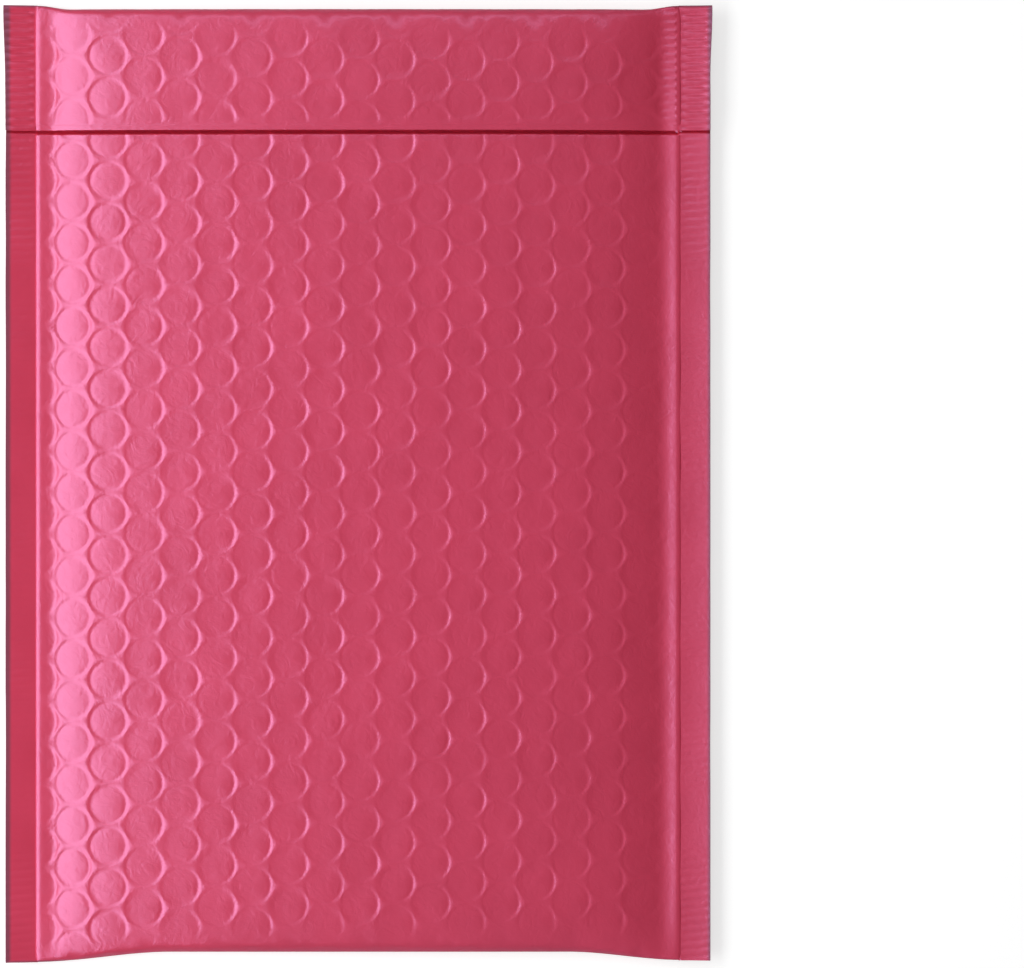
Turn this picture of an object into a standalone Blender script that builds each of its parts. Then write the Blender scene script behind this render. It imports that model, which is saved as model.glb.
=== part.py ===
"""Padded poly mailer, lying on its back with the flap folded down over the front.

One web of bubble-lined film makes the whole envelope. It runs from the flap's free edge over the
top fold, down the back, round the bottom fold and up the front to the mouth, which the flap hides.
The front and back are welded together along both sides in a crimped, ribbed strip.

+X across the width, +Y towards the flap's fold, +Z out of the front face. The origin is at the
middle of the underside. Lengths are in metres.
"""

import math

import bmesh
import bpy
from mathutils import Matrix

# Overall size, seams and flap
MAILER_WIDTH = 0.184
MAILER_LENGTH = 0.250
SEAM_WIDTH = 0.0083
FLAP_LENGTH = 0.0327

# Thickness of the empty mailer as it lies
CROWN_HEIGHT = 0.0074  # top of the front at mid width, above the table
SEAM_HEIGHT = 0.0032  # middle of the welded strips at their inner edge
FOLD_THICKNESS = 0.0048  # bottom fold, outside to outside
FOLD_LIFT = 0.0003  # underside of the two folds above the table
FLANGE = 0.0039  # flat margin that slopes in from a seam to the foot of the padding
FLANGE_DROP = 0.00075  # how far it falls
VALLEY = 0.0005  # softness of the turn at the foot
SHOULDER = 0.0078  # how fast the padding rises there
SHOULDER_SHARE = 0.43  # share of the rise made in that shoulder; the rest is a broad dome
FOLD_RUN = 0.0070  # how fast the padding rises from a fold
BACK_RUN = 0.0140  # width over which the back curls up to a seam

# Bubbles show through the film as shallow round dimples in staggered columns
BUBBLE_PITCH = 0.0108
BUBBLE_DIAMETER = 0.0098
FRONT_DIMPLE = 0.00040
BACK_DIMPLE = 0.00035
LATTICE_SHIFT = -0.0022  # the middle bubble's centre along Y
FOLD_CLEAR = 0.0030  # plain film between the last bubbles and a fold

# The ends of the padding draw in between the flat corners
BOTTOM_DRAW = 0.0027
TOP_DRAW = 0.0010
DRAW_RUN = 0.0260
END_INSET = 0.0003

# Welded and crimped side strips
STRIP_BELOW = 0.00035  # strip's underside below its middle
STRIP_ABOVE = 0.00025  # rib valleys above its middle
RIB_HEIGHT = 0.00020
RIB_PITCH = 0.0021
STRIP_TILT = math.radians(12.5)  # the outer edge stands higher
EDGE_ABOVE = 0.00070  # padding's edge above the strip's middle, a step over the ribs
EDGE_BELOW = 0.00040
EDGE_REACH = 0.0015  # how far the pinched edge runs into the strip
EDGE_CLEAR = 0.0005  # padding's border to the strip's inner face
EDGE_PINCH = 5  # 1 is a half-round edge; more pinches it towards the middle
STRIP_NOSE = 0.0005  # rounding at a strip's two ends

# The flap lies on the front with a thin gap below it
FLAP_EDGE_RISE = 0.0017  # flap's top above the front at its free edge
FLAP_RISE = 0.0020  # and further in, where it isn't pressed flat
FLAP_RISE_RUN = 0.0080
FLAP_STRIP_RISE = 0.00120  # the same step on the side strips
FLAP_SINK = 0.0009  # how far the flap beds into the front below it
FLAP_GAP = 0.0004
FLAP_GAP_HEIGHT = 0.00030  # middle of the gap above the front's surface
STRIP_GAP_HEIGHT = 0.00075  # the same above the middle of a side strip
FLAP_STEP = 0.0003  # length over which the free edge steps down

# The pocket, a thin space between the two walls, with its mouth under the flap
POCKET_SIDE = 0.0045  # welded edge outside the pocket
POCKET_END = 0.0052  # from the outside of a fold to the inside of the pocket
MOUTH_TURN = 0.0008
CUT_PAST = 0.0020  # the gap's cutter runs this far past the sides

EDGE_STATIONS = 12
END_STATIONS = 14
SPACE_STATIONS = 8
NOSE_RINGS = 3
FILM_COLOUR = (0.60, 0.075, 0.14, 1.0)

STRIP_INNER = MAILER_WIDTH / 2 - SEAM_WIDTH
PAD_HALF = STRIP_INNER - EDGE_CLEAR
HALF_LENGTH = MAILER_LENGTH / 2
FLAP_EDGE = HALF_LENGTH - FLAP_LENGTH
COLUMN_PITCH = BUBBLE_PITCH * math.sqrt(3) / 2
TINY = 1e-6
SOFT_LIMIT = 50.0  # keeps the soft turn's exponent in range


def clear_scene():
    for obj in list(bpy.data.objects):
        bpy.data.objects.remove(obj, do_unlink=True)


def smooth(t):
    """0 to 1 with level ends."""
    t = min(1.0, max(0.0, t))
    return t * t * (3 - 2 * t)


def rise_from_seam(x):
    """Share of the front's height reached at x: none at the foot, then a shoulder and a dome."""
    reach = PAD_HALF - FLANGE
    inside = reach - abs(x)
    soft = VALLEY * math.log1p(math.exp(min(SOFT_LIMIT, inside / VALLEY)))
    inside = max(inside, soft)
    shoulder = 1 - math.exp(-inside / SHOULDER)
    dome = math.sin(math.pi / 2 * min(1.0, inside / reach))
    return SHOULDER_SHARE * shoulder + (1 - SHOULDER_SHARE) * dome


def draw_in(x):
    """0 at the corners and 1 where an end of the padding is drawn in fully."""
    return smooth((PAD_HALF - abs(x)) / DRAW_RUN)


def end_line(x, side):
    """Y of the outermost line of a fold at x; side is 1 at the top and -1 at the bottom."""
    draw = TOP_DRAW if side > 0 else BOTTOM_DRAW
    return side * (HALF_LENGTH - END_INSET - draw * draw_in(x))


def from_fold(x, y):
    """Distance along Y from a point of the padding to the nearer fold."""
    return max(0.0, min(end_line(x, 1) - y, y - end_line(x, -1)))


def flap_share(y):
    """0 on the front, 1 on the flap, with the short step at its free edge between them."""
    return min(1.0, max(0.0, (y - FLAP_EDGE + FLAP_STEP / 2) / FLAP_STEP))


def front_height(x, y):
    """The front panel's surface, as if there were no flap."""
    full = 1 - math.exp(-from_fold(x, y) / FOLD_RUN)
    inward = math.sin(math.pi / 2 * min(1.0, (PAD_HALF - abs(x)) / FLANGE))
    seam = SEAM_HEIGHT + EDGE_ABOVE - FLANGE_DROP * full * inward
    fold_top = FOLD_LIFT + FOLD_THICKNESS
    crown = fold_top + (CROWN_HEIGHT - fold_top) * full
    return seam + (crown - seam) * rise_from_seam(x)


def flap_rise(x, y):
    """Height of the flap's upper face above the front panel's surface."""
    inward = smooth((y - FLAP_EDGE) / FLAP_RISE_RUN)
    padded = FLAP_EDGE_RISE + (FLAP_RISE - FLAP_EDGE_RISE) * inward
    across = rise_from_seam(x)
    return FLAP_STRIP_RISE + (padded - FLAP_STRIP_RISE) * across


def top_height(x, y):
    """The mailer's upper surface: the front, and the flap above it."""
    return front_height(x, y) + flap_rise(x, y) * flap_share(y)


def back_height(x, y):
    """The back's surface: flat on the table, lifted at the folds and curling up to the seams."""
    lift = FOLD_LIFT * (1 - smooth(from_fold(x, y) / BACK_RUN))
    curl = (1 - min(1.0, (PAD_HALF - abs(x)) / BACK_RUN)) ** 3
    return lift + (SEAM_HEIGHT - EDGE_BELOW - lift) * curl


def gap_height(x, y):
    """Middle of the gap under the flap, which steps down and tilts up again on the side strips."""
    past_strip = abs(x) - STRIP_INNER
    if past_strip > -TINY:
        return SEAM_HEIGHT + STRIP_GAP_HEIGHT + math.tan(STRIP_TILT) * past_strip
    sink = FLAP_SINK * rise_from_seam(x) * smooth((y - FLAP_EDGE) / FLAP_RISE_RUN)
    return front_height(x, y) + FLAP_GAP_HEIGHT - sink


def pocket_height(x, y):
    """Middle of the pocket, halfway between the two walls."""
    return (front_height(x, y) + back_height(x, y)) / 2


def half_thickness(x, y):
    return (top_height(x, y) - back_height(x, y)) / 2


def border_line():
    """Corners of the padding's border in plan, in order; each fold's round nose lies outside it."""

    def end_point(x, side):
        tip = end_line(x, side)
        return (x, tip - side * half_thickness(x, tip))

    steps = [2 * i / END_STATIONS - 1 for i in range(END_STATIONS + 1)]
    across = [PAD_HALF * math.sin(math.pi / 2 * s) for s in steps]
    bottom = [end_point(x, -1) for x in across]
    top = [end_point(x, 1) for x in reversed(across)]
    low, high = bottom[-1][1], top[0][1]
    levels = [low + (high - low) * i / EDGE_STATIONS for i in range(1, EDGE_STATIONS)]
    step_lines = [FLAP_EDGE - FLAP_STEP / 2, FLAP_EDGE + FLAP_STEP / 2]
    levels = [v for v in levels if abs(v - FLAP_EDGE) > 4 * FLAP_STEP]
    levels = sorted(levels + step_lines)
    right = [(PAD_HALF, y) for y in levels]
    left = [(-PAD_HALF, y) for y in reversed(levels)]
    return bottom + right + top + left


def bubble_cell(dimple, round_dimple):
    """One six-sided cell of the lattice, with its bubble's dimple sunk into the middle."""
    cell = bmesh.new()
    corner_on_x = Matrix.Rotation(math.pi / 2, 4, "Z")
    bmesh.ops.create_circle(
        cell, cap_ends=True, segments=6, radius=BUBBLE_PITCH / math.sqrt(3), matrix=corner_on_x
    )
    if round_dimple:
        ring = (BUBBLE_PITCH / math.sqrt(3) - BUBBLE_DIAMETER / 2) * math.cos(math.pi / 6)
        skirt = bmesh.ops.inset_individual(cell, faces=cell.faces[:], thickness=ring)["faces"]
        middle = min(cell.faces, key=lambda f: f.calc_center_median().length)
        sunk = middle.verts[:]
        bmesh.ops.rotate(cell, verts=sunk, matrix=Matrix.Rotation(math.pi / 6, 3, "Z"))
        bmesh.ops.triangulate(cell, faces=skirt, quad_method="SHORT_EDGE")
    else:
        sunk = bmesh.ops.poke(cell, faces=cell.faces[:])["verts"]
    for v in sunk:
        v.co.z = -dimple
    mesh = bpy.data.meshes.new("bubble_cell")
    cell.to_mesh(mesh)
    cell.free()
    return mesh


def bubble_places():
    """Centres of the bubbles that fit inside the border."""
    reach = BUBBLE_PITCH / math.sqrt(3)
    columns = int((PAD_HALF - reach) / COLUMN_PITCH)
    rows = int(HALF_LENGTH / BUBBLE_PITCH) + 1
    places = []
    for column in range(-columns, columns + 1):
        x = column * COLUMN_PITCH
        stagger = BUBBLE_PITCH / 2 * (column % 2)
        for row in range(-rows, rows + 1):
            y = LATTICE_SHIFT + stagger + row * BUBBLE_PITCH
            side = 1 if y > 0 else -1
            limit = abs(end_line(x, side)) - half_thickness(x, end_line(x, side)) - FOLD_CLEAR
            if abs(y) + BUBBLE_PITCH / 2 < limit:
                places.append((x, y))
    return places


def bubble_sheet(dimple, round_dimple, rest_cell):
    """A flat sheet of bubble cells, filled out with plain film to the border."""
    cell = bubble_cell(dimple, round_dimple)
    sheet = bmesh.new()
    places = bubble_places()
    middle = min(places, key=lambda p: math.hypot(*p))
    for place in places:
        first = len(sheet.verts)
        sheet.from_mesh(cell)
        sheet.verts.ensure_lookup_table()
        for v in sheet.verts[first:]:
            v.co.x += place[0]
            v.co.y += place[1]
            if rest_cell and place == middle:
                v.co.z = 0.0
    bpy.data.meshes.remove(cell)
    bmesh.ops.remove_doubles(sheet, verts=sheet.verts[:], dist=TINY)
    outline = [e for e in sheet.edges if e.is_boundary]
    corners = [sheet.verts.new((x, y, 0.0)) for x, y in border_line()]
    border = [sheet.edges.new((a, b)) for a, b in zip(corners, corners[1:] + corners[:1])]
    bmesh.ops.triangle_fill(sheet, use_beauty=True, edges=outline + border)
    bmesh.ops.recalc_face_normals(sheet, faces=sheet.faces[:])
    if sum(f.normal.z for f in sheet.faces) < 0:
        bmesh.ops.reverse_faces(sheet, faces=sheet.faces[:])
    return sheet


def cut_across(sheet, y):
    everything = sheet.verts[:] + sheet.edges[:] + sheet.faces[:]
    bmesh.ops.bisect_plane(
        sheet, geom=everything, dist=TINY, plane_co=(0, y, 0), plane_no=(0, 1, 0)
    )


def padding():
    """The padded middle as one closed form: dimpled top, dimpled back and a rounded rim."""
    top = bubble_sheet(FRONT_DIMPLE, True, False)
    for line in (FLAP_EDGE - FLAP_STEP / 2, FLAP_EDGE + FLAP_STEP / 2):
        cut_across(top, line)
    for v in top.verts:
        v.co.z += top_height(v.co.x, v.co.y)

    back = bubble_sheet(BACK_DIMPLE, False, True)
    bmesh.ops.reverse_faces(back, faces=back.faces[:])
    for v in back.verts:
        v.co.z = back_height(v.co.x, v.co.y) - v.co.z

    rim = [e for e in top.edges if e.is_boundary]
    border = {v for e in rim for v in e.verts}
    starts = {v: v.co.copy() for v in border}
    for ring in range(1, NOSE_RINGS + 2):
        made = bmesh.ops.extrude_edge_only(top, edges=rim)["geom"]
        rim = [g for g in made if isinstance(g, bmesh.types.BMEdge) and g.is_boundary]
        fresh = [g for g in made if isinstance(g, bmesh.types.BMVert)]
        turn = math.pi * ring / (NOSE_RINGS + 1)
        moved = {}
        for v in fresh:
            start = next(
                starts[e.other_vert(v)] for e in v.link_edges if e.other_vert(v) in starts
            )
            moved[v] = start
            v.co = nose_point(start, turn)
        starts = moved

    mesh = bpy.data.meshes.new("back")
    back.to_mesh(mesh)
    back.free()
    top.from_mesh(mesh)
    bpy.data.meshes.remove(mesh)
    bmesh.ops.remove_doubles(top, verts=top.verts[:], dist=TINY)
    bmesh.ops.triangulate(top, faces=top.faces[:])
    bmesh.ops.recalc_face_normals(top, faces=top.faces[:])
    return object_from(top, "padding")


def nose_point(start, turn):
    """The rim's section, turned from the top border over to the back: round, or pinched at a seam."""
    x, y = start.x, start.y
    half = half_thickness(x, y)
    middle = top_height(x, y) - half
    out = math.sin(turn)
    up = math.cos(turn)
    side_out = 0.0
    if abs(abs(x) - PAD_HALF) < TINY:
        side_out = math.copysign(EDGE_REACH, x) * out**EDGE_PINCH
        up = math.copysign(abs(up) ** EDGE_PINCH, up)
    low, high = end_reach(x)
    on_end = y < low + TINY or y > high - TINY
    end_out = (end_line(x, 1 if y > 0 else -1) - y) * out if on_end else 0.0
    return (x + side_out, y + end_out, middle + half * up)


def end_reach(x):
    """Y of the border at the bottom and at the top, for this x."""
    low, high = end_line(x, -1), end_line(x, 1)
    return low + half_thickness(x, low), high - half_thickness(x, high)


def object_from(bm, name):
    mesh = bpy.data.meshes.new(name)
    bm.to_mesh(mesh)
    bm.free()
    obj = bpy.data.objects.new(name, mesh)
    bpy.context.scene.collection.objects.link(obj)
    return obj


def strip_outline():
    """Side view of a crimped strip: flat below, ribbed above, with the step up to the flap."""
    base = SEAM_HEIGHT - STRIP_BELOW
    valley = SEAM_HEIGHT + STRIP_ABOVE
    flap_valley = valley + FLAP_STRIP_RISE
    points = [(STRIP_NOSE - HALF_LENGTH, base), (-HALF_LENGTH, (base + valley) / 2)]
    ribs = round(MAILER_LENGTH / RIB_PITCH)
    for i in range(1, 2 * ribs):
        y = -HALF_LENGTH + i * MAILER_LENGTH / (2 * ribs)
        if y > FLAP_EDGE and points[-1][0] < FLAP_EDGE:
            points.append((FLAP_EDGE - FLAP_STEP / 2, valley))
            points.append((FLAP_EDGE + FLAP_STEP / 2, flap_valley))
        if abs(y - FLAP_EDGE) > FLAP_STEP:
            peak = RIB_HEIGHT if i % 2 else 0.0
            points.append((y, peak + (flap_valley if y > FLAP_EDGE else valley)))
    nose = [(base + 2 * flap_valley) / 3, (2 * base + flap_valley) / 3]
    points += [(HALF_LENGTH, z) for z in nose]
    points.append((HALF_LENGTH - STRIP_NOSE, base))
    return points


def crimped_strip(side):
    """A welded side strip: its ribbed side view, extruded across and tilted up outwards."""
    bm = bmesh.new()
    outline = [bm.verts.new((side * STRIP_INNER, y, z)) for y, z in strip_outline()]
    face = bm.faces.new(outline)
    pushed = bmesh.ops.extrude_face_region(bm, geom=[face])["geom"]
    for v in [g for g in pushed if isinstance(g, bmesh.types.BMVert)]:
        v.co.x = side * MAILER_WIDTH / 2
    for v in bm.verts:
        v.co.z += math.tan(STRIP_TILT) * (abs(v.co.x) - STRIP_INNER)
    bmesh.ops.recalc_face_normals(bm, faces=bm.faces[:])
    return object_from(bm, "strip")


def space_line():
    """Side view of the empty space: (y, level) with level 0 in the pocket and 1 under the flap."""
    bottom = end_line(0, -1) + POCKET_END
    mouth = end_line(0, 1) - POCKET_END
    gap_end = FLAP_EDGE - 2 * FLAP_STEP
    pocket = [(bottom, 0), ((bottom + FLAP_EDGE) / 2, 0), (FLAP_EDGE, 0), (mouth, 0)]
    turn = [(mouth + MOUTH_TURN, 0.5)]
    gap = [(mouth, 1), (FLAP_EDGE + FLAP_RISE_RUN, 1), (FLAP_EDGE + FLAP_RISE_RUN / 2, 1)]
    return pocket + turn + gap + [(gap_end, 1)]


def inside_space():
    """The empty space inside: the pocket, its turn round the mouth and the gap under the flap."""
    pocket_half = PAD_HALF - POCKET_SIDE
    steps = [i / SPACE_STATIONS for i in range(SPACE_STATIONS + 1)]
    inner = [pocket_half * math.sin(math.pi / 2 * s) for s in steps]
    outer = [PAD_HALF - POCKET_SIDE / 2, PAD_HALF, STRIP_INNER, MAILER_WIDTH / 2 + CUT_PAST]
    half = inner + outer
    stations = [-x for x in reversed(half[1:])] + half

    bm = bmesh.new()
    line = space_line()
    rows = []
    for y, level in line:
        heights = [(pocket_height(x, y), gap_height(x, y)) for x in stations]
        places = [(x, y, a + (b - a) * level) for x, (a, b) in zip(stations, heights)]
        rows.append([bm.verts.new(place) for place in places])
    for (_, level), row, after in zip(line, rows, rows[1:]):
        for i in range(len(stations) - 1):
            in_pocket = max(abs(stations[i]), abs(stations[i + 1])) <= pocket_half + TINY
            if level == 1 or in_pocket:
                bm.faces.new((row[i], row[i + 1], after[i + 1], after[i]))
    bmesh.ops.delete(bm, geom=[v for v in bm.verts if not v.link_faces], context="VERTS")
    space = object_from(bm, "inside_space")
    shell = space.modifiers.new("thickness", "SOLIDIFY")
    shell.thickness = FLAP_GAP
    shell.offset = 0.0
    return space


def combine(target, other, operation):
    """Applies one exact Boolean to target and removes the other object."""
    boolean = target.modifiers.new(operation.lower(), "BOOLEAN")
    boolean.operation = operation
    boolean.object = other
    boolean.solver = "EXACT"
    depsgraph = bpy.context.evaluated_depsgraph_get()
    result = bpy.data.meshes.new_from_object(target.evaluated_get(depsgraph))
    target.modifiers.clear()
    target.data = result
    bpy.data.objects.remove(other, do_unlink=True)


def film_material():
    film = bpy.data.materials.new("pink_film")
    film.use_nodes = True
    shader = film.node_tree.nodes["Principled BSDF"]
    shader.inputs["Base Color"].default_value = FILM_COLOUR
    shader.inputs["Roughness"].default_value = 0.42
    shader.inputs["Metallic"].default_value = 0.0
    return film


def build_envelope():
    envelope = padding()
    for side in (-1, 1):
        combine(envelope, crimped_strip(side), "UNION")
    combine(envelope, inside_space(), "DIFFERENCE")
    envelope.name = "padded_envelope"
    envelope.data.name = "padded_envelope"
    envelope.data.materials.clear()
    envelope.data.materials.append(film_material())
    envelope.data.shade_flat()
    parts = bpy.data.collections.new("Padded envelope")
    bpy.context.scene.collection.children.link(parts)
    bpy.context.scene.collection.objects.unlink(envelope)
    parts.objects.link(envelope)


clear_scene()
build_envelope()
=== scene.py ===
"""The looks of a padded mailer: pink bubble-lined film, crimped side seams and a closed flap."""

import math
import random

import bpy
import numpy as np
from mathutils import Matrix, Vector, noise


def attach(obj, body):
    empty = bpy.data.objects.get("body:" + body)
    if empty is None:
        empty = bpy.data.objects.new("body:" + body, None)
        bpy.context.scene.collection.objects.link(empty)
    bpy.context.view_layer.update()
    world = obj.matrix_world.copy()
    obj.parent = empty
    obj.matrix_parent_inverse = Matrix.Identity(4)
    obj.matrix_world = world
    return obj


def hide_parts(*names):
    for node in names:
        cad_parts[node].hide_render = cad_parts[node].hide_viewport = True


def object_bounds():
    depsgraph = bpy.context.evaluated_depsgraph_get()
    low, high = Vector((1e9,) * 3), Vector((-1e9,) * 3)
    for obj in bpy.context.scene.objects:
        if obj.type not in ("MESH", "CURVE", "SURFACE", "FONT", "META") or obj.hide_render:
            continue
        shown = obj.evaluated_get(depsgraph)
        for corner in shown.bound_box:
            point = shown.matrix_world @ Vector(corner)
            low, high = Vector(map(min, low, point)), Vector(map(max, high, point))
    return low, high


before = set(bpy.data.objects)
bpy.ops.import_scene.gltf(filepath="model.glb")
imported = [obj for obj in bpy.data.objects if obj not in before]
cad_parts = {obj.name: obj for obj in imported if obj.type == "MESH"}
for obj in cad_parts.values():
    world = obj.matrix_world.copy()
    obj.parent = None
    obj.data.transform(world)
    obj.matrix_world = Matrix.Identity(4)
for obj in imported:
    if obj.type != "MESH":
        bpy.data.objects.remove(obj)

cad_low, cad_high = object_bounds()
bpy.context.scene.view_settings.view_transform = "Standard"

# The back wall of the mailer: bubble film from the bottom fold to the top fold, lying on the table.
# It is the middle of the one web that the mailer is folded from. Its bubbles, laid in staggered
# columns, show through the outer film as shallow round dimples.
HALF_WIDTH = cad_high.x
HALF_LENGTH = cad_high.y
SEAM_WIDTH = 0.0083
SEAM_HEIGHT = 0.0032
PAD_HALF = HALF_WIDTH - SEAM_WIDTH - 0.0005
EDGE_ABOVE = 0.0007
EDGE_BELOW = 0.0004
FOLD_THICKNESS = 0.0048
FOLD_LIFT = 0.0003
BACK_RUN = 0.014
BOTTOM_DRAW = 0.0026
TOP_DRAW = 0.0009
TOP_DRAW_RUN = 0.008
DRAW_RUN = 0.028
LEFT_RUN = 0.034
SHORT_CORNER = 0.0005
END_INSET = 0.0001

BUBBLE_PITCH = 0.0108
COLUMN_PITCH = BUBBLE_PITCH * math.sqrt(3) / 2
LATTICE_SHIFT = -0.0022
COLUMN_PAIRS = 10
ROWS = 26
MERGE = 1e-5

BACK_RINGS = {0.0053: 0, 0.0048: -0.00015, 0.0044: -0.00025, 0.0037: -0.00017, 0.0018: -0.00012}
BACK_SIDES = 12
BACK_INNER_LEVEL = 0.0011
WEB_RISE = 0.00005


def smooth(t):
    """0 to 1 with level ends."""
    t = np.clip(t, 0, 1)
    return t * t * (3 - 2 * t)


def end_line(x, side):
    """Y of a fold's outermost line at x; side is 1 at the top and -1 at the bottom."""
    if side > 0:
        inset = TOP_DRAW * smooth((PAD_HALF - np.abs(x)) / TOP_DRAW_RUN)
    else:
        corner = np.where(x > 0, SHORT_CORNER, 0)
        drawn = smooth((PAD_HALF - np.abs(x)) / np.where(x > 0, DRAW_RUN, LEFT_RUN))
        inset = corner + (BOTTOM_DRAW - corner) * drawn
    return side * (HALF_LENGTH - END_INSET - inset)


def from_fold(x, y):
    """Distance along Y to the nearer fold."""
    return np.maximum(0, np.minimum(end_line(x, 1) - y, y - end_line(x, -1)))


def back_height(x, y):
    """The back's surface: flat on the table, lifted at the folds and curled up to the seams."""
    lift = FOLD_LIFT * (1 - smooth(from_fold(x, y) / BACK_RUN))
    curl = (1 - np.clip((PAD_HALF - np.abs(x)) / BACK_RUN, 0, 1)) ** 3
    return lift + (SEAM_HEIGHT - EDGE_BELOW - lift) * curl


def edit(obj):
    """Makes obj the active object, alone selected, and opens it in edit mode."""
    bpy.ops.object.select_all(action="DESELECT")
    bpy.context.view_layer.objects.active = obj
    obj.select_set(True)
    bpy.ops.object.mode_set(mode="EDIT")
    bpy.ops.mesh.select_all(action="SELECT")


def bubble_cell(name, sides, rings):
    """One six-sided cell of the film with its bubble's dimple, flat on the XY plane."""
    radii = list(rings)
    bpy.ops.mesh.primitive_circle_add(vertices=6, radius=BUBBLE_PITCH / math.sqrt(3))
    cell = bpy.context.object
    cell.name = name
    edit(cell)
    bpy.ops.transform.rotate(value=math.pi / 6, orient_axis="Z", center_override=(0, 0, 0))
    bpy.ops.mesh.subdivide(number_cuts=sides // 6 - 1)
    bpy.ops.mesh.primitive_circle_add(vertices=sides, radius=radii[0])
    bpy.ops.mesh.select_all(action="SELECT")
    bpy.ops.mesh.bridge_edge_loops()
    bpy.ops.object.mode_set(mode="OBJECT")
    for edge in cell.data.edges:
        ends = [cell.data.vertices[i].co.length for i in edge.vertices]
        edge.select = max(ends) < radii[0] * 1.001
    for v in cell.data.vertices:
        v.select = v.co.length < radii[0] * 1.001
    for face in cell.data.polygons:
        face.select = False
    bpy.ops.object.mode_set(mode="EDIT")
    bpy.ops.mesh.edge_face_add()
    for outer, inner in zip(radii, radii[1:]):
        bpy.ops.mesh.inset(thickness=(outer - inner) * math.cos(math.pi / sides))
    bpy.ops.mesh.poke()
    bpy.ops.object.mode_set(mode="OBJECT")
    radii.insert(0, BUBBLE_PITCH / math.sqrt(3))
    levels = [WEB_RISE] + list(rings.values())
    for v in cell.data.vertices:
        v.co.z = np.interp(v.co.xy.length, radii[::-1], levels[::-1])
    return cell


def apply_all(obj):
    bpy.ops.object.select_all(action="DESELECT")
    bpy.context.view_layer.objects.active = obj
    obj.select_set(True)
    for modifier in list(obj.modifiers):
        bpy.ops.object.modifier_apply(modifier=modifier.name)


def repeat(obj, count, step):
    array = obj.modifiers.new("repeat", "ARRAY")
    array.count = count
    array.use_relative_offset = False
    array.use_constant_offset = True
    array.constant_offset_displace = step
    array.use_merge_vertices = True
    array.merge_threshold = MERGE


def bisect(obj, axis, place, clear=0):
    """Cuts obj across an axis; clear is 1 to drop what lies above the plane and -1 below it."""
    normal = [0, 0, 0]
    normal["xyz".index(axis)] = 1
    point = [place * n for n in normal]
    edit(obj)
    bpy.ops.mesh.bisect(
        plane_co=point, plane_no=normal, clear_outer=clear > 0, clear_inner=clear < 0
    )
    bpy.ops.object.mode_set(mode="OBJECT")


def bubble_sheet(name, sides, rings, low, high, x_lines, y_lines):
    """A flat sheet of bubble film: one cell copied over the lattice, trimmed, with extra lines."""
    sheet = bubble_cell(name, sides, rings)
    beside = sheet.copy()
    beside.data = sheet.data.copy()
    bpy.context.collection.objects.link(beside)
    beside.location = (COLUMN_PITCH, BUBBLE_PITCH / 2, 0)
    bpy.ops.object.select_all(action="DESELECT")
    bpy.context.view_layer.objects.active = sheet
    sheet.select_set(True)
    beside.select_set(True)
    bpy.ops.object.join()
    repeat(sheet, ROWS, (0, BUBBLE_PITCH, 0))
    repeat(sheet, COLUMN_PAIRS, (2 * COLUMN_PITCH, 0, 0))
    apply_all(sheet)
    edit(sheet)
    first = (-COLUMN_PAIRS * COLUMN_PITCH, LATTICE_SHIFT - ROWS // 2 * BUBBLE_PITCH, 0)
    bpy.ops.transform.translate(value=first)
    bpy.ops.mesh.remove_doubles(threshold=MERGE)
    bpy.ops.object.mode_set(mode="OBJECT")
    if sheet.data.polygons[0].normal.z < 0:
        edit(sheet)
        bpy.ops.mesh.flip_normals()
        bpy.ops.object.mode_set(mode="OBJECT")
    widest = max(x_lines)
    for side in (-1, 1):
        bisect(sheet, "x", side * widest, clear=side)
        for line in x_lines[:-1]:
            bisect(sheet, "x", side * line)
    bisect(sheet, "y", low, clear=-1)
    bisect(sheet, "y", high, clear=1)
    for line in y_lines:
        bisect(sheet, "y", line)
    return sheet


def points_of(obj):
    flat = np.empty(len(obj.data.vertices) * 3, dtype=np.float32)
    obj.data.vertices.foreach_get("co", flat)
    return flat.reshape(-1, 3).astype(float)


def move_points(obj, points):
    obj.data.vertices.foreach_set("co", points.astype(np.float32).ravel())
    obj.data.update()


def nearest_bubble(x, y):
    """Column, row and offset from the middle of the bubble whose cell holds each point."""
    best = np.full(len(x), 9.0)
    found = np.zeros((len(x), 4))
    near = np.round(x / COLUMN_PITCH)
    for shift in (-1, 0, 1):
        column = near + shift
        stagger = column % 2 * BUBBLE_PITCH / 2
        row = np.round((y - LATTICE_SHIFT - stagger) / BUBBLE_PITCH)
        dx = x - column * COLUMN_PITCH
        dy = y - LATTICE_SHIFT - stagger - row * BUBBLE_PITCH
        away = np.hypot(dx, dy)
        closer = away < best
        best[closer] = away[closer]
        found[closer] = np.stack([column, row, dx, dy], axis=1)[closer]
    return found.T


def uneven(column, row, seed, low, high):
    """A number from low to high for each point, the same all over one bubble's cell."""
    chance = random.Random(seed)
    span = 2 * (COLUMN_PAIRS + ROWS)
    table = np.array([[chance.uniform(low, high) for _ in range(span)] for _ in range(span)])
    return table[column.astype(int) % span, row.astype(int) % span]


CLOSING_WIDTH = 0.93
CLOSING_LENGTH = 0.95


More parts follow.
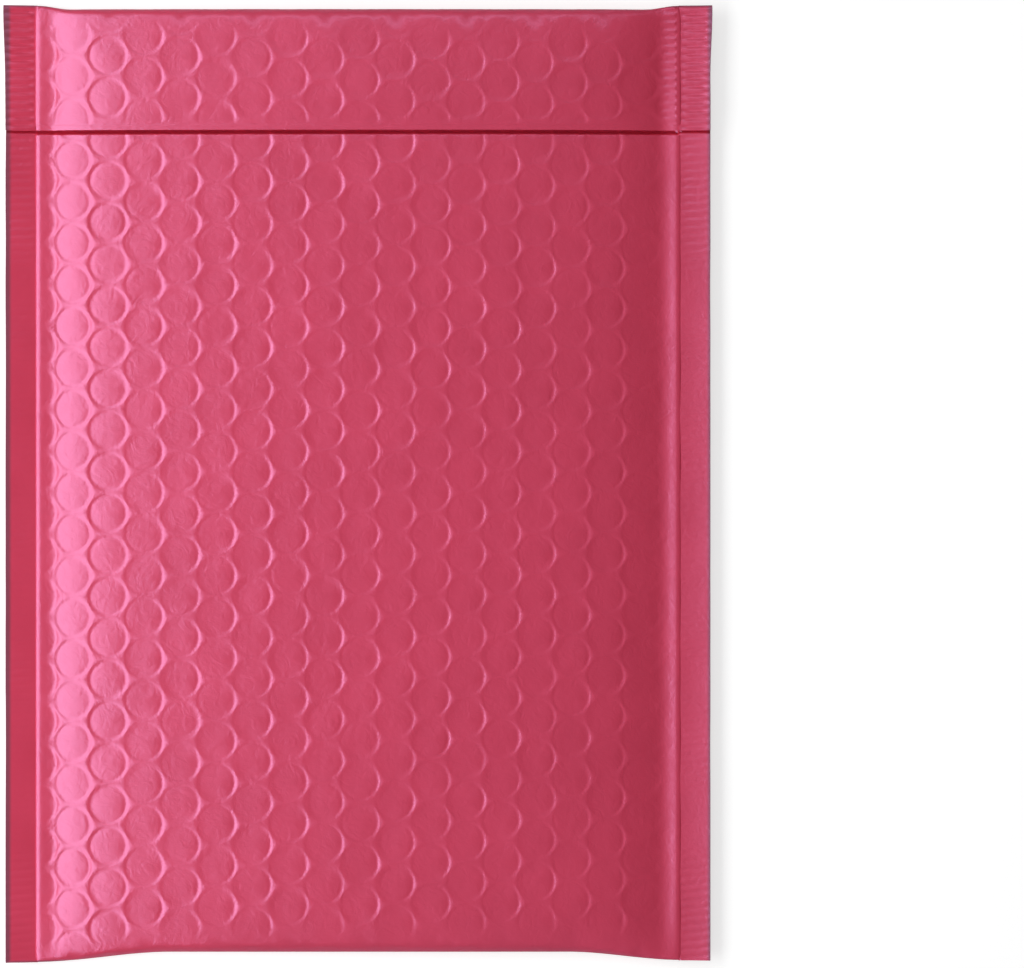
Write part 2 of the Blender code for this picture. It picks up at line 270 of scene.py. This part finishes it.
def close_flat(obj, middle, level):
    """Closes an open sheet with a hidden face at a level inside the mailer, and shades it."""
    edit(obj)
    bpy.ops.mesh.select_all(action="DESELECT")
    bpy.ops.mesh.select_mode(type="EDGE")
    bpy.ops.mesh.select_non_manifold()
    bpy.ops.mesh.extrude_region()
    bpy.ops.transform.resize(
        value=(CLOSING_WIDTH, CLOSING_LENGTH, 0), center_override=(0, middle, level)
    )
    bpy.ops.mesh.edge_face_add()
    bpy.ops.mesh.select_all(action="SELECT")
    bpy.ops.mesh.normals_make_consistent(inside=False)
    bpy.ops.object.mode_set(mode="OBJECT")
    bpy.ops.object.shade_smooth_by_angle(angle=math.radians(60))


# The film itself: satin pink polyethylene, the same all over. The crimps of the right seam run on
# over the flap's margin, between these limits. Its colour is painted darker along the seams' outer
# edges, and painted shade darkens the top and bottom folds where they turn down.
RIB_PITCH = 0.0021
CRIMP_LIMITS = (("X", 0.0780, 0.0815), ("X", 0.0834, 0.0826), ("Y", 0.0925, 0.0960))
CRIMP_DEPTH = 0.00009
CRINKLES = ((700, 3, 0.6, 0.00004), (230, 4, 2.5, 0.00007))
# Where the colour is darkened: the seams' outer edges across X, and painted shade on the folds
# along Y.
DARK_EDGES_AND_FOLD_SHADE = (("X", 0.0003, HALF_WIDTH - 0.0003, 0.0012), ("Y", 0, HALF_LENGTH, 0.0008))


def film_material(name):
    """Satin pink film: a pearly gloss, crinkles, crimps, darker seam edges and painted shade on the
    folds.
    """
    film = bpy.data.materials.new(name)
    film.use_nodes = True
    nodes, links = film.node_tree.nodes, film.node_tree.links
    shader = nodes["Principled BSDF"]
    shader.inputs["Metallic"].default_value = 0.0
    shader.inputs["IOR"].default_value = 1.86
    shader.inputs["Specular IOR Level"].default_value = 1.0
    shader.inputs["Specular Tint"].default_value = (0.92, 0.55, 1.0, 1)
    place = nodes.new("ShaderNodeTexCoord")

    cloud = nodes.new("ShaderNodeTexNoise")
    cloud.inputs["Scale"].default_value = 60
    cloud.inputs["Detail"].default_value = 4
    links.new(place.outputs["Object"], cloud.inputs["Vector"])
    tint = nodes.new("ShaderNodeValToRGB")
    tint.color_ramp.elements[0].color = (0.735, 0.026, 0.060, 1)
    tint.color_ramp.elements[0].position = 0.3
    tint.color_ramp.elements[1].color = (0.795, 0.031, 0.070, 1)
    tint.color_ramp.elements[1].position = 0.7
    links.new(cloud.outputs["Fac"], tint.inputs["Fac"])

    split = nodes.new("ShaderNodeSeparateXYZ")
    links.new(place.outputs["Object"], split.inputs["Vector"])
    # Masks for the darkened colour: the seams' outer edges, and painted shade where the top and
    # bottom folds turn down.
    dark_edge_masks = []
    for axis, middle, reach, soft in DARK_EDGES_AND_FOLD_SHADE:
        centre = nodes.new("ShaderNodeMath")
        centre.operation = "SUBTRACT"
        centre.inputs[1].default_value = middle
        links.new(split.outputs[axis], centre.inputs[0])
        out = nodes.new("ShaderNodeMath")
        out.operation = "ABSOLUTE"
        links.new(centre.outputs["Value"], out.inputs[0])
        dark_edge_mask = nodes.new("ShaderNodeMapRange")
        dark_edge_mask.interpolation_type = "SMOOTHSTEP"
        dark_edge_mask.inputs["From Min"].default_value = reach - soft
        dark_edge_mask.inputs["From Max"].default_value = reach
        links.new(out.outputs["Value"], dark_edge_mask.inputs["Value"])
        dark_edge_masks.append(dark_edge_mask)
    either = nodes.new("ShaderNodeMath")
    either.operation = "MAXIMUM"
    links.new(dark_edge_masks[0].outputs["Result"], either.inputs[0])
    links.new(dark_edge_masks[1].outputs["Result"], either.inputs[1])
    # Mixes the dark colour in: painted shade on the folds, and a darker band along the seams' outer
    # edges.
    dark_edge_mix = nodes.new("ShaderNodeMix")
    dark_edge_mix.data_type = "RGBA"
    dark_edge_mix.inputs["B"].default_value = (0.28, 0.045, 0.058, 1)
    links.new(either.outputs["Value"], dark_edge_mix.inputs["Factor"])
    links.new(tint.outputs["Color"], dark_edge_mix.inputs["A"])
    links.new(dark_edge_mix.outputs["Result"], shader.inputs["Base Color"])

    gloss = nodes.new("ShaderNodeMapRange")
    gloss.inputs["To Min"].default_value = 0.32
    gloss.inputs["To Max"].default_value = 0.38
    links.new(cloud.outputs["Fac"], gloss.inputs["Value"])
    links.new(gloss.outputs["Result"], shader.inputs["Roughness"])

    normal = None
    for scale, detail, warp, depth in CRINKLES:
        crinkle = nodes.new("ShaderNodeTexNoise")
        crinkle.inputs["Scale"].default_value = scale
        crinkle.inputs["Detail"].default_value = detail
        crinkle.inputs["Distortion"].default_value = warp
        links.new(place.outputs["Object"], crinkle.inputs["Vector"])
        relief = nodes.new("ShaderNodeBump")
        relief.inputs["Strength"].default_value = 1.0
        relief.inputs["Distance"].default_value = depth
        links.new(crinkle.outputs["Fac"], relief.inputs["Height"])
        if normal:
            links.new(normal, relief.inputs["Normal"])
        normal = relief.outputs["Normal"]

    ribs = nodes.new("ShaderNodeMath")
    ribs.operation = "MULTIPLY"
    ribs.inputs[1].default_value = 2 * math.pi / RIB_PITCH
    links.new(split.outputs["Y"], ribs.inputs[0])
    wave = nodes.new("ShaderNodeMath")
    wave.operation = "SINE"
    links.new(ribs.outputs["Value"], wave.inputs[0])
    height = wave.outputs["Value"]
    for axis, low, high in CRIMP_LIMITS:
        mask = nodes.new("ShaderNodeMapRange")
        mask.interpolation_type = "SMOOTHSTEP"
        mask.inputs["From Min"].default_value = low
        mask.inputs["From Max"].default_value = high
        links.new(split.outputs[axis], mask.inputs["Value"])
        masked = nodes.new("ShaderNodeMath")
        masked.operation = "MULTIPLY"
        links.new(height, masked.inputs[0])
        links.new(mask.outputs["Result"], masked.inputs[1])
        height = masked.outputs["Value"]
    crimp = nodes.new("ShaderNodeBump")
    crimp.inputs["Strength"].default_value = 1.0
    crimp.inputs["Distance"].default_value = CRIMP_DEPTH
    links.new(height, crimp.inputs["Height"])
    links.new(normal, crimp.inputs["Normal"])
    links.new(crimp.outputs["Normal"], shader.inputs["Normal"])
    return film


def finish_padding(obj, film):
    obj.data.materials.clear()
    obj.data.materials.append(film)
    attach(obj, "root")
    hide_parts("padded_envelope")


TOP_TIGHT = 0.6
BOTTOM_TIGHT = 0.9
FOLD_OVERLAP = 1.06


def wrap_end(points, side, level, surface, reach):
    """Bends a sheet's end a quarter turn round a fold, to just past the middle of its thickness."""
    tight = TOP_TIGHT if side > 0 else BOTTOM_TIGHT
    x, y = points[:, 0], points[:, 1]
    tip = end_line(x, side)
    top, low = surface(x, tip), level(x, tip)
    half = (top - low) / 2
    start = tip - side * np.abs(half)
    past = side * (y - start)
    share = np.clip(past / (reach - side * start), 0, 1)
    turn = share * math.pi / 2
    bent = past > 0
    points[bent, 1] = (start + side * np.abs(half) * np.sin(turn) ** tight)[bent]
    drop = FOLD_OVERLAP * half * (1 - np.maximum(0, np.cos(turn)) ** tight)
    points[bent, 2] -= drop[bent]


# How far the sheets' long edges drop, in mm, at a distance in mm past the padding's edge.
LEFT_SIDE = {-0.4: 0, 0: 0.03, 0.3: 0.07, 0.9: 0.15, 1.05: 0.20, 1.15: 0.36, 1.3: 0.64}
RIGHT_SIDE = {-0.9: 0, -0.4: 0.02, 0: 0.06, 0.3: 0.09, 0.6: 0.115, 0.9: 0.15, 1.15: 0.3, 1.3: 0.55}
EDGE_LINES = [
    PAD_HALF + f * 0.0001
    for f in (-60, -50, -42, -34, -27, -20, -14, -9, -4, -2, 0, 3, 6, 9, 10.5, 11.5, 13)
]
END_REACH = HALF_LENGTH + 0.0015


def tuck_side(points, up):
    """Rounds a sheet's long edges over and drops them into the side seams."""
    past = (np.abs(points[:, 0]) - PAD_HALF) * 1000
    for side, section in ((-1, LEFT_SIDE), (1, RIGHT_SIDE)):
        drop = np.interp(past, list(section), list(section.values())) / 1000
        points[:, 2] -= np.where(points[:, 0] * side > 0, up * drop, 0)


CROWN_HEIGHT = 0.0074
FOLD_RUN = 0.007
TOP_RUN = 0.016
FLANGE = 0.0041
LEFT_FLANGE = 0.0034
FLANGE_DROP = 0.00070
LEFT_DROP = 0.0002
TOP_FOLD = 0.0009
SHOULDER = 0.0078
SHOULDER_SHARE = 0.43
RIGHT_SHOULDER = 0.0105
RIGHT_SHARE = 0.60
RIGHT_EDGE_LOWER = 0.0002
VALLEY = 0.0008
LEFT_VALLEY = 0.00035


def crown_height(x, y):
    """The front's surface: a flange sloping in from each seam, a valley, then a broad crown."""
    flange = np.where(x < 0, LEFT_FLANGE, FLANGE)
    inside = np.maximum(0, PAD_HALF - np.abs(x))
    full = 1 - np.exp(-from_fold(x, y) / np.where(y > 0, TOP_RUN, FOLD_RUN))
    drop = np.where(x < 0, LEFT_DROP, FLANGE_DROP) * full
    drop = drop * np.sin(math.pi / 2 * np.minimum(1, inside / flange))
    soft = np.where(x < 0, LEFT_VALLEY, VALLEY)
    past = soft * np.log1p(np.exp(np.minimum(60, (inside - flange) / soft)))
    past = np.where(inside - flange > 50 * soft, inside - flange, past)
    dome = np.sin(math.pi / 2 * np.minimum(1, past / (PAD_HALF - FLANGE)))
    rightness = smooth((x + 0.02) / 0.04)
    share = SHOULDER_SHARE + (RIGHT_SHARE - SHOULDER_SHARE) * rightness
    run = SHOULDER + (RIGHT_SHOULDER - SHOULDER) * rightness
    rise = share * (1 - np.exp(-past / run)) + (1 - share) * dome
    seam = SEAM_HEIGHT + EDGE_ABOVE - RIGHT_EDGE_LOWER * rightness - drop
    fold_top = FOLD_LIFT + FOLD_THICKNESS + np.where(y > 0, TOP_FOLD, 0)
    crown = fold_top + (CROWN_HEIGHT - fold_top) * full
    return seam + (crown - seam) * rise


FLAP_LENGTH = 0.0327
FLAP_EDGE = HALF_LENGTH - FLAP_LENGTH
FLAP_EDGE_RISE = 0.0017
FLAP_RISE = 0.0020
FLAP_RISE_RUN = 0.008
FLAP_SEAM_RISE = 0.0012


def flap_height(x, y):
    """The flap's surface, which lies on the front and meets the back in the top fold."""
    inside = np.maximum(0, PAD_HALF - FLANGE - np.abs(x))
    across = 1 - np.exp(-inside / SHOULDER)
    inward = smooth((y - FLAP_EDGE) / FLAP_RISE_RUN)
    padded = FLAP_EDGE_RISE + (FLAP_RISE - FLAP_EDGE_RISE) * inward
    return crown_height(x, y) + FLAP_SEAM_RISE + (padded - FLAP_SEAM_RISE) * across


pink_film = film_material("pink_film")

back = bubble_sheet(
    "back_wall", BACK_SIDES, BACK_RINGS, -END_REACH, END_REACH, EDGE_LINES[7::3], []
)
spots = points_of(back)
column, row, _, _ = nearest_bubble(spots[:, 0], spots[:, 1])
fade = smooth((PAD_HALF - np.abs(spots[:, 0]) - 0.001) / 0.004)
fade *= smooth((from_fold(spots[:, 0], spots[:, 1]) - 0.004) / 0.008)
relief = spots[:, 2] * fade * uneven(column, row, 5, 0.6, 1.1)
spots[:, 2] = back_height(spots[:, 0], spots[:, 1]) - np.minimum(relief, 0)
wrap_end(spots, -1, crown_height, back_height, END_REACH)
wrap_end(spots, 1, flap_height, back_height, END_REACH)
tuck_side(spots, -0.7)
move_points(back, spots)
edit(back)
bpy.ops.mesh.flip_normals()
bpy.ops.object.mode_set(mode="OBJECT")
close_flat(back, 0, BACK_INNER_LEVEL)
finish_padding(back, pink_film)

# The front wall: the same film, folded up over the back at the bottom. It runs to the mouth, under
# the flap. The air in its bubbles pushes it into a broad crown, and each bubble's rim is a groove
# that catches the light, deeper on the side away from the roller that pressed it.
FRONT_SIDES = 24
FRONT_MIDDLE = -0.0113
FRONT_INNER_LEVEL = 0.0014
FRONT_RINGS = {
    0.00532: -0.00004,
    0.00512: -0.00009,
    0.00494: -0.00014,
    0.00474: -0.000185,
    0.00445: -0.000215,
    0.0041: -0.00019,
    0.0034: -0.00013,
}
RIM_BIAS = 0.65
RIM_TURN = math.radians(-8)
BUBBLE_LEAN = 0.010
BROAD_WAVE = 0.00007
SMALL_WAVE = 0.000035
STREAK_WAVE = 0.00003
MOUTH_FROM_EDGE = 0.010
MOUTH_DROP = 0.003
UNDER_FLAP = 0.0009
CREASE_DEPTH = 0.0010
CREASE_WIDTH = 0.0013
CREASE_LINES = [FLAP_EDGE - f * 0.0001 for f in (13, 11, 9, 7, 5, 2)] + [FLAP_EDGE + 0.0003]

front = bubble_sheet(
    "front_wall", FRONT_SIDES, FRONT_RINGS, -END_REACH, FLAP_EDGE + MOUTH_FROM_EDGE,
    EDGE_LINES, CREASE_LINES
)


def ripple(x, y, size, seed, stretch=1):
    """Smooth noise over the sheet, about -1 to 1, with bumps of the given size."""
    tall = size * stretch
    return np.array([noise.noise((a / size, b / tall, seed)) for a, b in zip(x, y)])


def film_drift(x, y):
    """How far the film's lattice of bubbles wanders from true rows and columns."""
    inside = smooth((PAD_HALF - np.abs(x)) / 0.007)
    along = (y - 0.0022) / 0.0797
    dx = (0.00065 - 0.19 * (x + 0.01875) ** 2) * inside
    dx += 0.0007 * smooth((-x - 0.0755) / 0.0035) * smooth((PAD_HALF + x) / 0.004)
    dx -= 0.0010 * smooth((y - 0.050) / 0.060) * smooth((x - 0.020) / 0.050) * inside
    dy = -0.001 * along * (0.287 + 0.81 * (x + 0.0073) / 0.0705)
    return dx, dy * smooth(from_fold(x, y) / 0.008)


def lay_film(points, seed):
    """Lets the film drift sideways, and returns the relief that shows on its upper side."""
    x, y = points[:, 0].copy(), points[:, 1].copy()
    column, row, dx, dy = nearest_bubble(x, y)
    drift_x, drift_y = film_drift(x, y)
    points[:, 0] += drift_x
    points[:, 1] += drift_y
    flat = smooth((0.0046 - np.hypot(dx, dy)) / 0.0006)
    lean = dx * uneven(column, row, seed + 1, -1, 1) + dy * uneven(column, row, seed + 2, -1, 1)
    away = np.hypot(dx, dy)
    facing = (dx * math.cos(RIM_TURN) + dy * math.sin(RIM_TURN)) / np.maximum(away, MERGE)
    on_rim = smooth((away - 0.0034) / 0.0010)
    pressed = on_rim * np.maximum(0, facing) ** 4 + (1 - on_rim) * 0.75
    bias = RIM_BIAS * (1 - 0.8 * smooth((-0.056 - x) / 0.014))
    depth = 1 - bias + bias * pressed
    bubbles = points[:, 2] * depth * uneven(column, row, seed, 0.75, 1.15)
    bubbles += BUBBLE_LEAN * lean * flat
    fade = smooth((PAD_HALF - np.abs(x) - 0.0004) / 0.0042)
    # The last column on the right is pulled nearly flat, but shows on the flap.
    lost = 0.85 - 0.6 * smooth((y - 0.075) / 0.030)
    fade *= 1 - lost * smooth((x - PAD_HALF + 0.0080) / 0.005)
    fade *= 1 - 0.1 * smooth((x - 0.050) / 0.025)
    fade *= smooth((from_fold(x, y) - 0.003) / 0.006)
    waves = BROAD_WAVE * ripple(x, y, 0.010, seed) + SMALL_WAVE * ripple(x, y, 0.0028, seed + 7)
    streaks = smooth(ripple(x, y, 0.03, seed) * 3)
    waves += STREAK_WAVE * ripple(x, y, 0.0016, seed + 9, 6) * streaks
    return bubbles * fade + waves * smooth((PAD_HALF - np.abs(x)) / 0.003)


spots = points_of(front)
flat_y = spots[:, 1].copy()
relief = lay_film(spots, 11)
free = smooth((FLAP_EDGE - CREASE_WIDTH - flat_y) / 0.006)
spots[:, 1] = flat_y + (spots[:, 1] - flat_y) * free
x, y = spots[:, 0], spots[:, 1]
under_flap = smooth((y - FLAP_EDGE - 0.0003) / 0.004) * smooth((0.078 - np.abs(x)) / 0.006)
crease = CREASE_DEPTH * smooth((y - FLAP_EDGE + CREASE_WIDTH) / CREASE_WIDTH)
spots[:, 2] = crown_height(x, y) + relief * (1 - under_flap) - crease - UNDER_FLAP * under_flap
mouth = smooth((y - FLAP_EDGE - MOUTH_FROM_EDGE + MOUTH_DROP) / MOUTH_DROP)
spots[:, 2] -= mouth * (spots[:, 2] - SEAM_HEIGHT)
wrap_end(spots, -1, back_height, crown_height, END_REACH)
tuck_side(spots, 1)
move_points(front, spots)
close_flat(front, FRONT_MIDDLE, FRONT_INNER_LEVEL)
finish_padding(front, pink_film)

# The side seams: both walls welded together and crimped between ribbed jaws, so that they are thin,
# stiff and crossed by fine ribs. The seam folds over at the top with the web and ends on the flap.
# A strip's tilts are its slopes at its inner and its outer edge.
SEAM_TILTS = {-1: (0.222, 0.222), 1: (0.04, 0.20)}
SEAM_FILM = 0.00045
RIB_HEIGHT = 0.00013
RIB_FADE = 0.0022
SEAM_CREASE = 0.0005
SEAM_COLUMNS = 12
STEPS_PER_RIB = 7
SEAM_START = HALF_WIDTH - SEAM_WIDTH


def rib_strength(y, on_flap, seed):
    """How deeply the crimp marks the film at y: fully by the mouth, in patches lower down."""
    near_mouth = smooth((y - FLAP_EDGE + 0.045) / 0.020)
    patches = np.array([0.5 + noise.noise((seed, v / 0.02, 3.1)) for v in y])
    near_bottom = 0.5 * smooth((0.030 - HALF_LENGTH - y) / 0.010)
    body = np.maximum(0.6 * near_mouth, np.clip(0.4 * patches, 0.1, 0.5) + near_bottom)
    return np.where(on_flap, 1.6, np.minimum(body, 1.0))


def side_seam(name, side, seed):
    turn = FLAP_SEAM_RISE / 2
    short = SHORT_CORNER if side > 0 else 0
    straight = 2 * HALF_LENGTH - short - turn - SEAM_FILM / 2
    bend = math.pi * turn
    whole = straight + bend + FLAP_LENGTH - turn - SEAM_FILM / 2
    rows = round(whole / RIB_PITCH * STEPS_PER_RIB)
    bpy.ops.mesh.primitive_grid_add(x_subdivisions=SEAM_COLUMNS, y_subdivisions=rows, size=1)
    seam = bpy.context.object
    seam.name = name
    spots = points_of(seam)
    across = (spots[:, 0] + 0.5) * SEAM_WIDTH
    along = (spots[:, 1] + 0.5) * whole
    angle = np.clip((along - straight) / turn, 0, math.pi)
    back_along = np.maximum(0, along - straight - bend)
    y = short - HALF_LENGTH + np.minimum(along, straight) + turn * np.sin(angle) - back_along
    inner, outer = SEAM_TILTS[side]
    tilt = inner * across + (outer - inner) * across ** 2 / (2 * SEAM_WIDTH)
    z = SEAM_HEIGHT + tilt + turn * (1 - np.cos(angle))
    on_flap = along > straight + bend
    under = angle + smooth((y - FLAP_EDGE + 0.001) / 0.001)
    z -= SEAM_CREASE * np.where(angle > 0, 0, under)
    strength = rib_strength(y, on_flap, seed)
    strength = strength * smooth((across - 0.0004) / RIB_FADE)
    strength = strength * smooth((SEAM_WIDTH - across) / RIB_FADE)
    strength = strength * (1 + 0.5 * ripple(y, across, 0.004, seed + 1))
    ribs = RIB_HEIGHT * np.cos(2 * math.pi * along / RIB_PITCH) * strength
    z += ribs * np.cos(angle) + 0.00012 * ripple(y, across, 0.012, seed)
    edge_wave = np.array([noise.noise((v / 0.02, seed, 0)) for v in y])
    across -= 0.00015 * np.clip(edge_wave, 0, 1) * smooth(across / SEAM_WIDTH)
    across += 0.0005 * smooth((y - HALF_LENGTH + 0.02) / 0.02) * across / SEAM_WIDTH
    spots[:, 0] = side * (SEAM_START + across)
    spots[:, 1] = y
    spots[:, 2] = z
    move_points(seam, spots)
    edit(seam)
    if side < 0:
        bpy.ops.mesh.flip_normals()
    bpy.ops.object.mode_set(mode="OBJECT")
    shell = seam.modifiers.new("film", "SOLIDIFY")
    shell.thickness = SEAM_FILM
    shell.offset = 0
    apply_all(seam)
    bpy.ops.object.shade_smooth_by_angle(angle=math.radians(50))
    seam.data.materials.append(pink_film)
    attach(seam, "root")
    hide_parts("padded_envelope")
    return seam


side_seam("left_seam", -1, 2.3)
side_seam("right_seam", 1, 8.9)

# The flap: the last 33 mm of the web, folded over at the top and stuck down over the mouth. Its
# free edge is a thin lip where the outer film runs past the bubbles.
FLAP_FILM = 0.0009
LIP_WIDTH = 0.0013
LIP_STEP = 0.00025
LIP_LINES = [FLAP_EDGE + f * 0.0001 for f in (1, 2, 4, 7, 10, 12, 14, 17)]

flap = bubble_sheet(
    "flap", FRONT_SIDES, FRONT_RINGS, FLAP_EDGE, END_REACH, EDGE_LINES, LIP_LINES
)

spots = points_of(flap)
from_edge = spots[:, 1] - FLAP_EDGE
flat_y = spots[:, 1].copy()
relief = lay_film(spots, 29)
held = smooth((from_edge - LIP_WIDTH) / 0.005)
spots[:, 1] = flat_y + (spots[:, 1] - flat_y) * held
spots[:, 2] = flap_height(spots[:, 0], spots[:, 1])
spots[:, 2] += relief * smooth((from_edge - LIP_WIDTH) / 0.002)
spots[:, 2] -= LIP_STEP * (1 - smooth((from_edge - LIP_WIDTH + 0.0003) / 0.0006))
spots[:, 2] -= 0.00012 * np.clip(1 - from_edge / 0.0004, 0, 1) ** 2
wrap_end(spots, 1, back_height, flap_height, END_REACH)
tuck_side(spots, 1)
move_points(flap, spots)
body = flap.vertex_groups.new(name="body")
for v, share in zip(flap.data.vertices, smooth(from_edge / 0.003)):
    body.add([v.index], float(0.45 + 0.55 * share), "REPLACE")
shell = flap.modifiers.new("film", "SOLIDIFY")
shell.thickness = FLAP_FILM
shell.offset = -1
shell.vertex_group = "body"
apply_all(flap)
bpy.ops.object.shade_smooth_by_angle(angle=math.radians(50))
finish_padding(flap, pink_film)

# The table: a plain white surface that the mailer lies on, and that keeps its soft shadow. To the
# camera it glows a little, so that it looks white at the light's plain level.
bpy.ops.mesh.primitive_plane_add(size=6, location=(0, 0, 0))
table = bpy.context.object
table.name = "table"
white = bpy.data.materials.new("table_white")
white.use_nodes = True
nodes, links = white.node_tree.nodes, white.node_tree.links
paper = nodes["Principled BSDF"]
paper.inputs["Base Color"].default_value = (0.6, 0.6, 0.6, 1)
paper.inputs["Roughness"].default_value = 0.8
paper.inputs["Specular IOR Level"].default_value = 0.2
seen = nodes.new("ShaderNodeLightPath")
glow = nodes.new("ShaderNodeMath")
glow.operation = "MULTIPLY"
glow.inputs[1].default_value = 0.66
links.new(seen.outputs["Is Camera Ray"], glow.inputs[0])
links.new(glow.outputs["Value"], paper.inputs["Emission Strength"])
paper.inputs["Emission Color"].default_value = (1, 1, 1, 1)
table.data.materials.append(white)

# Studio light: a long soft box close by on the left, which draws the bright line down each bubble's
# rim, a weaker one beyond the flap, and a pale room that is darker on the right.
world = bpy.data.worlds.new("room")
bpy.context.scene.world = world
world.use_nodes = True
nodes, links = world.node_tree.nodes, world.node_tree.links
room = nodes["Background"]
room.inputs["Color"].default_value = (1, 1, 1, 1)
around = nodes.new("ShaderNodeTexCoord")
split = nodes.new("ShaderNodeSeparateXYZ")
links.new(around.outputs["Generated"], split.inputs["Vector"])
wall = nodes.new("ShaderNodeMapRange")
wall.inputs["From Min"].default_value = -0.8
wall.inputs["From Max"].default_value = 0.8
wall.inputs["To Min"].default_value = 0.52
wall.inputs["To Max"].default_value = 0.08
links.new(split.outputs["X"], wall.inputs["Value"])
seen = nodes.new("ShaderNodeLightPath")
level = nodes.new("ShaderNodeMix")
level.inputs["B"].default_value = 1.0
links.new(seen.outputs["Is Camera Ray"], level.inputs["Factor"])
links.new(wall.outputs["Result"], level.inputs["A"])
links.new(level.outputs["Result"], room.inputs["Strength"])


def soft_box(name, place, aim, width, height, power):
    bpy.ops.object.light_add(type="AREA", location=place)
    lamp = bpy.context.object
    lamp.name = name
    lamp.visible_camera = False
    lamp.data.shape = "RECTANGLE"
    lamp.data.size = width
    lamp.data.size_y = height
    lamp.data.energy = power
    away = Vector(place) - Vector(aim)
    lamp.rotation_euler = away.to_track_quat("Z", "Y").to_euler()
    return lamp


soft_box("left_box", (-0.265, -0.01, 0.345), (0, -0.01, 0), 0.80, 0.21, 1.62)
soft_box("far_box", (0.0, 0.75, 1.05), (0, 0, 0), 0.50, 0.30, 0.7)

# The camera looks straight down on the flap's side, with a long lens, and has the mailer left of
# the middle of the picture.
CAMERA_HEIGHT = 1.5
PICTURE_WIDTH = 0.2675
CAMERA_X = 0.0402
bpy.ops.object.camera_add(location=(CAMERA_X, 0, CAMERA_HEIGHT), rotation=(0, 0, 0))
camera = bpy.context.object
camera.data.sensor_width = 36
camera.data.lens = 36 * (CAMERA_HEIGHT - 0.004) / PICTURE_WIDTH
camera.data.clip_end = 20
bpy.context.scene.camera = camera
